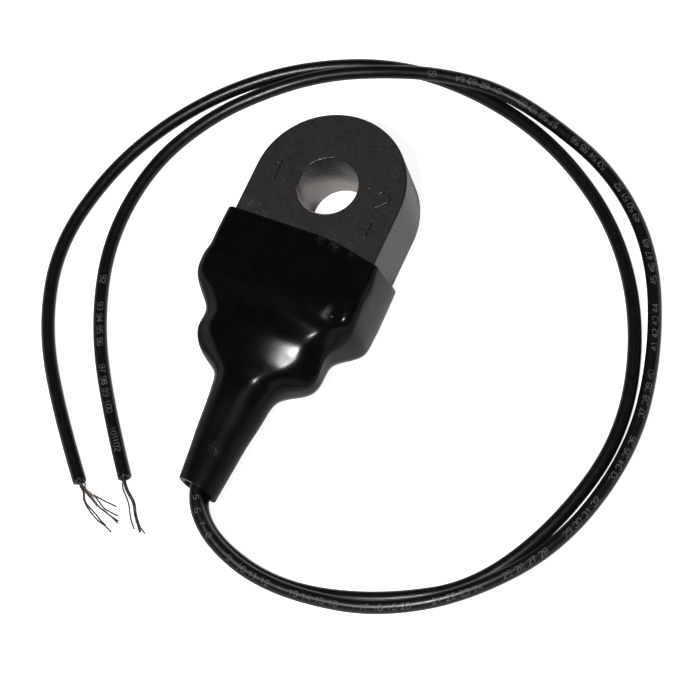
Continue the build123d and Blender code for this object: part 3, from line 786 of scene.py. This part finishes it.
def counting_marks(line):
    """Plain numbers that count along a lead, printed thin on its insulation."""
    places = frames(line, COUNT_FACES)
    reach = [0.0]
    for a, b in zip(line, line[1:]):
        reach.append(reach[-1] + (b - a).length / MM)

    def at(distance):
        last = len(reach) - 2
        i = next((k for k in range(last) if reach[k + 1] >= distance), last)
        share = (distance - reach[i]) / (reach[i + 1] - reach[i])
        point, _, side, up = (a.lerp(b, share) for a, b in zip(places[i], places[i + 1]))
        return point, side, up

    strokes = []
    number, start = 0, 0.0
    while start + 2 * COUNT_PITCH < COUNT_RANGES[-1][1]:
        number += 1
        start += COUNT_PITCH + (COUNT_GAP if number % COUNT_GROUP == 1 else 0)
        if not any(low < start < high - 2 * COUNT_PITCH for low, high in COUNT_RANGES):
            continue
        for digit, sign in enumerate(str(number)):
            for points in STROKES[sign]:
                def place(u, v, height, start=start + digit * DIGIT_PITCH * COUNT_GRID):
                    point, side, up = at(start + u * COUNT_GRID)
                    turn = -(v - SIGN_MIDDLE[1]) * COUNT_GRID / LEAD_RADIUS
                    way = (up * cos(turn) + side * sin(turn)).normalized()
                    return point + way * (LEAD_RADIUS + height) * MM
                strokes.append((finer(points, COUNT_STEP), place))
    return strokes_mesh("counting_marks", strokes, COUNT_WIDTH / COUNT_GRID, COUNT_RISE)


# Boot


def boot_form(distance):
    """The boot's form at a distance, evened out over its neighbourhood."""
    parts = [(share, form_at(distance + i * FORM_SPREAD)) for i, share in FORM_SHARES]
    return [sum(share * values[k] for share, values in parts) for k in range(len(parts[0][1]))]


def form_at(distance):
    """Monotone curves through the lines of BOOT_FORM."""
    table = BOOT_FORM
    distance = min(max(distance, table[0][0]), table[-1][0])
    i = max(k for k in range(len(table) - 1) if table[k][0] <= distance)

    def slope(k, column):
        if k == 0 or k == len(table) - 1:
            a, b = table[max(k - 1, 0)], table[min(k + 1, len(table) - 1)]
            return (b[column] - a[column]) / (b[0] - a[0])
        left = (table[k][column] - table[k - 1][column]) / (table[k][0] - table[k - 1][0])
        right = (table[k + 1][column] - table[k][column]) / (table[k + 1][0] - table[k][0])
        return 2 * left * right / (left + right) if left * right > 0 else 0.0

    a, b = table[i], table[i + 1]
    span = b[0] - a[0]
    t = (distance - a[0]) / span
    values = []
    for column in range(1, len(a)):
        rise = (2 * t**3 - 3 * t**2 + 1) * a[column] + (3 * t**2 - 2 * t**3) * b[column]
        rise += ((t**3 - 2 * t**2 + t) * slope(i, column) + (t**3 - t**2) * slope(i + 1, column)) * span
        values.append(rise)
    return values


def bow_share(z, back, front):
    """How much of its bow a side has at a height: all of it low down, less below, none at the front."""
    mouth_back, mouth_front = BOOT_FORM[0][3:5]
    low = back + (SIDE_BOW_AT - mouth_back) / (mouth_front - mouth_back) * (front - back)
    if z > low:
        return 1 - ((z - low) / (front - low)) ** 2
    return 1 - SIDE_BOW_BELOW * ((low - z) / (low - back)) ** 2


def boot_ring(distance, inset):
    """Points round the boot, inset mm inside its outer surface."""
    left, right, back, front, round_front, round_back, crown = boot_form(distance)
    half, shift = (right - left) / 2 - inset, (right + left) / 2
    back, front = back + inset, front - inset
    round_front, round_back = max(round_front - inset, LEAST_ROUND), max(round_back - inset, LEAST_ROUND)
    rounder = fade(distance, RIGHT_ROUNDER_FROM) * (1 - fade(distance, RIGHT_ROUNDER_TO))
    round_right = round_front + RIGHT_ROUNDER * rounder
    corners = [
        (half - round_right, front - round_right, round_right, 90, FACE_STEPS),
        (half - round_back, back + round_back, round_back, 0, SIDE_STEPS),
        (-half + round_back, back + round_back, round_back, -90, FACE_STEPS),
        (-half + round_front, front - round_front, round_front, -180, SIDE_STEPS),
    ]
    outline = []
    for x, z, radius, start, steps in corners + corners[:1]:
        angles = [radians(start - 90 * i / CORNER_STEPS) for i in range(CORNER_STEPS + 1)]
        arc = [Vector((x + radius * cos(angle), z + radius * sin(angle))) for angle in angles]
        if outline:
            outline += [outline[-1].lerp(arc[0], i / steps) for i in range(1, steps)]
        outline += arc
    outline = outline[:-CORNER_STEPS - 1]
    middle = (front + back) / 2
    side_bow = SIDE_BOW * (1 - fade(distance, SIDE_BOW_FADES))
    mouth = 1 - smooth((distance - BOOT_FORM[0][0]) / MOUTH_DIP_FADES)
    tail = fade(distance, (SLANT_FROM, BOOT_FORM[-1][0]))
    ring = []
    for x, z in outline:
        share = fade(z, (middle, front))
        bow = bow_share(z, back, front)
        off_x = (x - MOUTH_DIP_AT[0]) / MOUTH_DIP_REACH[0]
        off_z = (z - MOUTH_DIP_AT[1]) / MOUTH_DIP_REACH[1]
        dip = MOUTH_DIP * exp(-off_x**2 - off_z**2) * mouth
        slant = x * tan(TAIL_SLANT) * tail
        sway = noise.noise(Vector((x, distance, z)) / UNEVEN_PATCH) * UNEVENNESS
        side = shift + (side_bow * bow + sway) * x / half
        fall = ((x / half) ** 2 + CROWN_SOFT**2) ** CROWN_POWER - CROWN_SOFT ** (2 * CROWN_POWER)
        z -= share * crown * fall
        for fold_x, fold_at, rise, reach in FOLDS:
            off = (x + shift - fold_x) ** 2 + (distance - fold_at) ** 2
            z += share * rise * exp(-off / reach**2)
        ring.append(Vector((x + side, -(distance + dip + slant), z + sway)) * MM)
    return ring


def boot():
    """The shrink boot: its outside, the wall's rounded ends, and the room inside."""
    first, last = BOOT_FORM[0][0], BOOT_FORM[-1][0]
    lip = [pi / 2 * i / LIP_STEPS for i in range(LIP_STEPS + 1)]
    start, stop = first + MOUTH_LIP, last - TAIL_LIP
    rings = [boot_ring(start - MOUTH_LIP * sin(a), MOUTH_LIP * (1 - cos(a))) for a in reversed(lip)]
    rings += [boot_ring(start + (stop - start) * i / BOOT_RINGS, 0) for i in range(1, BOOT_RINGS)]
    rings += [boot_ring(stop + TAIL_LIP * sin(a), TAIL_LIP * (1 - cos(a))) for a in lip]
    for i in range(BOOT_INNER_RINGS + 1):
        share = i / BOOT_INNER_RINGS
        wall = TAIL_WALL + (BOOT_WALL - TAIL_WALL) * smooth(share / TAIL_WALL_SHARE)
        rings.append(boot_ring(last + (first - last) * share, wall))
    return link("boot", closed_mesh("boot", rings, loop=True))


# Bench and light


def background_share(tree, level_seen, level_reflected):
    """How strongly a white background glows: for the camera, and in reflections and glass."""
    path = add(tree, "LightPath")
    mirrored = calc(tree, "MAXIMUM", path.outputs["Is Glossy Ray"], path.outputs["Is Transmission Ray"])
    shown = calc(tree, "MULTIPLY", mirrored, level_reflected)
    seen = path.outputs["Is Camera Ray"]
    return add(tree, "Math", operation="MULTIPLY_ADD", _0=seen, _1=level_seen, _2=shown).outputs[0]


def floor():
    """A white bench just under the object."""
    half = FLOOR_SIZE / 2
    low = cad_box[0][2] - FLOOR_GAP
    corners = [(-half, -half, low), (half, -half, low), (half, half, low), (-half, half, low)]
    mesh = bpy.data.meshes.new("floor")
    mesh.from_pydata(corners, [], [(0, 1, 2, 3)])
    mat = bpy.data.materials.new("floor")
    mat.use_nodes = True
    tree = mat.node_tree
    tree.nodes.clear()
    diffuse = add(tree, "BsdfDiffuse", Color=FLOOR_COLOUR)
    glow = add(tree, "Emission", Strength=background_share(tree, FLOOR_SEEN, FLOOR_REFLECTED))
    both = add(tree, "AddShader", _0=diffuse.outputs[0], _1=glow.outputs[0])
    add(tree, "OutputMaterial", Surface=both.outputs[0])
    mesh.materials.append(mat)
    link("floor", mesh)


def world():
    """A white surround that darkens overhead."""
    surround = bpy.data.worlds.new("world")
    bpy.context.scene.world = surround
    surround.use_nodes = True
    tree = surround.node_tree
    height = add(tree, "SeparateXYZ", _0=add(tree, "TexCoord").outputs["Generated"]).outputs["Z"]
    level = spread(tree, height, 1.0, DARK_LEVEL, start=WHITE_BELOW, stop=DARK_ABOVE)
    background = tree.nodes["Background"]
    background.inputs["Color"].default_value = (1.0, 1.0, 1.0, 1.0)
    tree.links.new(level, background.inputs["Strength"])


def lamp(name, at, size, power, target):
    """A round lamp that faces its target."""
    data = bpy.data.lights.new(name, "AREA")
    data.shape = "DISK"
    data.size = size
    data.energy = power
    obj = link(name, data)
    obj.location = at
    obj.rotation_mode = "QUATERNION"
    obj.rotation_quaternion = (target - at).to_track_quat("-Z", "Y")
    return obj


def dress(obj, slot, mats):
    """A piece of the one body, with its finish."""
    obj.data.materials.append(mats[slot])
    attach(obj, "root")
    return obj


camera()
mats = finishes()

for number, route, tips in ((1, LEAD_1, STRANDS_1), (2, LEAD_2, STRANDS_2)):
    line = centreline(route)
    lead = dress(insulation(f"lead_{number}", line), "insulation", mats)
    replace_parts(lead, f"lead_insulation_{number}", f"lead_conductor_{number}")
    bare = dress(strands(f"strands_{number}", tips), "strand_metal", mats)
    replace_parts(bare, f"lead_strands_{number}")
    if number == 1:
        marks = counting_marks(line)
        marks.data.materials.append(mats["ink"])
        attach(marks, "root")
    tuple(line[0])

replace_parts(dress(boot(), "boot", mats), "shrink_boot")
dress(case_marks(), "case", mats)

for name, obj in frame["nodes"].items():
    slot = next(value for start, value in NODE_SLOTS.items() if name.startswith(start))
    obj.data.materials.clear()
    obj.data.materials.append(mats[slot])

floor()
world()
lamp("key", KEY_AT, KEY_SIZE, KEY_POWER, KEY_TARGET)
lamp("fill", FILL_AT, FILL_SIZE, FILL_POWER, FILL_TARGET).visible_glossy = False
bpy.context.scene.view_settings.view_transform = "Standard"
